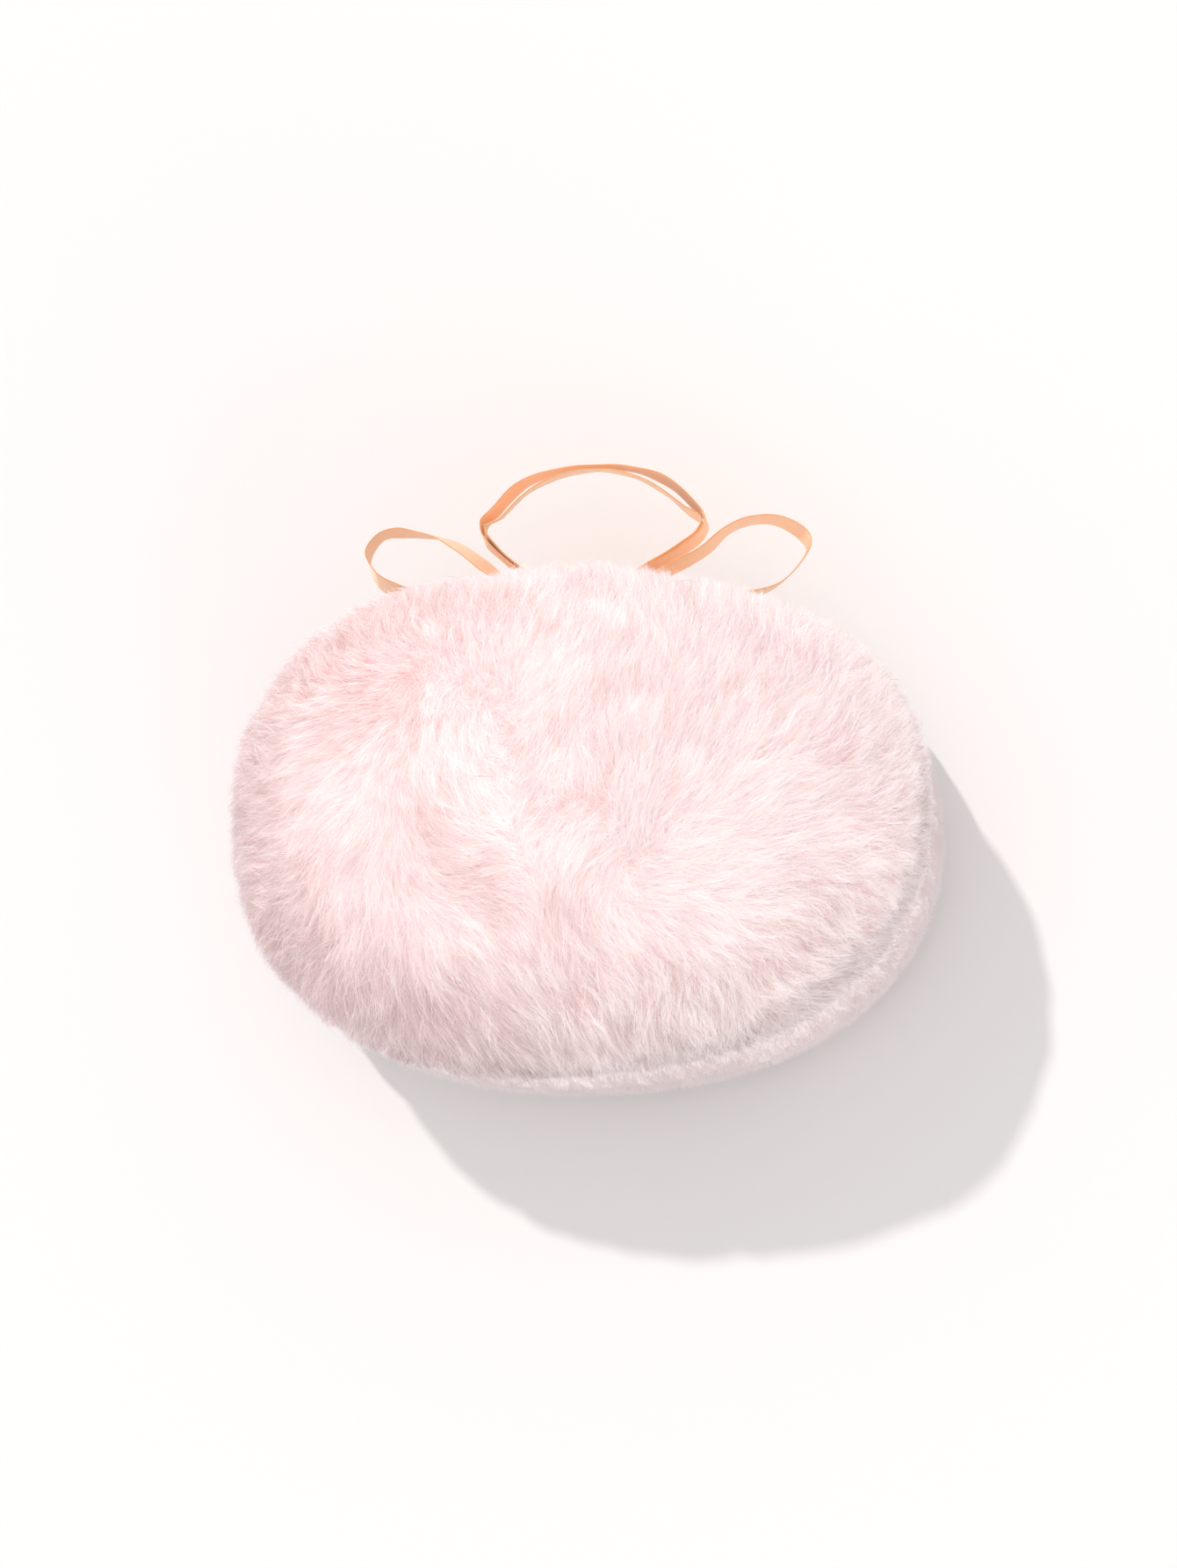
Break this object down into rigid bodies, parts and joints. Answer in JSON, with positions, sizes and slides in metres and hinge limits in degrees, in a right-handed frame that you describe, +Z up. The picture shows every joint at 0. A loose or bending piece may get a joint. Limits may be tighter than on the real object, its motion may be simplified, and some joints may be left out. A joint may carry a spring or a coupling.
{
  "type": "powder puff",
  "caption": "Oval plush powder puff with a long-pile front, a short-pile back, a soft filling, and a satin ribbon hanging loop with a bow.",
  "frame": {"origin": "middle of the flat area that the puff rests on, under its short-pile back", "axes": "+X along the puff's length, +Y across it towards the bow, +Z up out of the long-pile front"},
  "size_m": [0.103, 0.092, 0.044],
  "materials": {
    "long_plush": "long soft combed pile, pale pink",
    "short_plush": "short dense velvety pile, pale pink",
    "backing_cloth": "knitted ground cloth",
    "fibre": "loose polyester fibre",
    "thread": "sewing thread",
    "satin_ribbon": "woven peach satin with small picot edges"
  },
  "bodies": {
    "puff": {"front_plush_pile": "long_plush", "back_plush_pile": "short_plush", "front_backing_cloth": "backing_cloth", "back_backing_cloth": "backing_cloth", "fibre_filling": "fibre", "machine_seam_thread": "thread", "closing_ladder_stitch": "thread", "bow_knot_wrap": "satin_ribbon", "bow_knot_core": "satin_ribbon", "bow_anchor_tab": "satin_ribbon", "bow_tack_stitches": "thread"},
    "hanging_loop": {"hanging_loop_outer_ribbon": "satin_ribbon", "hanging_loop_inner_ribbon": "satin_ribbon"},
    "bow_left": {"bow_left_loop": "satin_ribbon"},
    "bow_right": {"bow_right_loop": "satin_ribbon"}
  },
  "joints": [
    {"name": "hanging_loop_swing", "type": "hinge", "parent": "puff", "child": "hanging_loop", "pos_m": [0, 0.0342, 0.017], "axis": [1, 0, 0], "range_deg": [-30, 20]},
    {"name": "bow_left_flap", "type": "hinge", "parent": "puff", "child": "bow_left", "pos_m": [0, 0.0342, 0.017], "axis": [1, 0, 0], "range_deg": [-15, 15]},
    {"name": "bow_right_flap", "type": "hinge", "parent": "puff", "child": "bow_right", "pos_m": [0, 0.0342, 0.017], "axis": [1, 0, 0], "range_deg": [-15, 15]}
  ]
}
